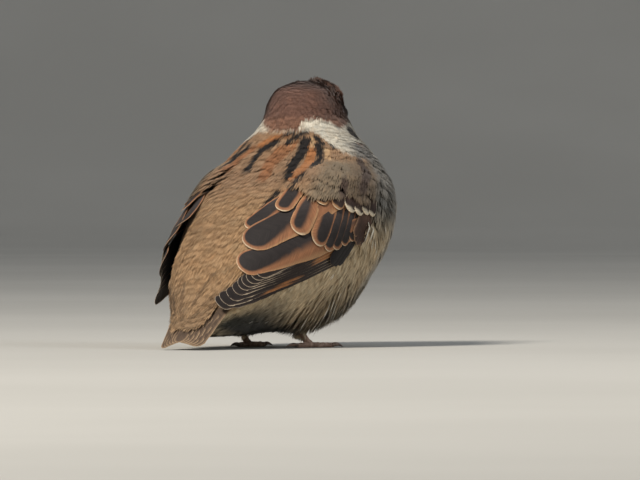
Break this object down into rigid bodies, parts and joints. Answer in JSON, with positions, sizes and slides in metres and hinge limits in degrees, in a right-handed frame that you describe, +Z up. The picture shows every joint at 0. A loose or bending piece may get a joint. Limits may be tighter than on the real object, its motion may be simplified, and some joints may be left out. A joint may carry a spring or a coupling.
{
  "type": "Eurasian tree sparrow",
  "caption": "Life-size still model of a Eurasian tree sparrow, fluffed up and standing with its wings folded, its tail resting on the ground and its head turned a little to the left.",
  "frame": {"origin": "middle of the bottom of the bounding box, on the ground", "axes": "-Y is the way the body faces, +Y runs to the tail, +X is the bird's left side, +Z is up"},
  "size_m": [0.0652, 0.1056, 0.0888],
  "materials": {
    "crown": "chestnut feathers, matt",
    "collar": "white feathers, matt",
    "back": "sandy brown feathers, matt",
    "belly": "pale buff feathers, matt",
    "wing_coverts": "rufous feathers with black middles and white tips",
    "flight_feathers": "dark brown feathers with buff edges",
    "tail": "brown feathers with buff edges",
    "bill": "dark horn, satin",
    "claw": "dark horn, satin",
    "eye": "wet, very dark brown",
    "leg": "scaled skin, matt"
  },
  "bodies": {
    "root": {"head": "crown", "neck": "collar", "trunk": "back", "tail_coverts": "back", "tail": "tail", "bill_upper": "bill", "bill_lower": "bill", "eye_left": "eye", "wing_left_coverts": "wing_coverts", "wing_left_tertials": "flight_feathers", "wing_left_flight_feathers": "flight_feathers", "thigh_left": "belly", "shank_left": "leg", "foot_left": "leg", "claw_inner_left": "claw", "claw_middle_left": "claw", "claw_outer_left": "claw", "claw_hind_left": "claw", "eye_right": "eye", "wing_right_coverts": "wing_coverts", "wing_right_tertials": "flight_feathers", "wing_right_flight_feathers": "flight_feathers", "thigh_right": "belly", "shank_right": "leg", "foot_right": "leg", "claw_inner_right": "claw", "claw_middle_right": "claw", "claw_outer_right": "claw", "claw_hind_right": "claw"}
  },
  "joints": []
}
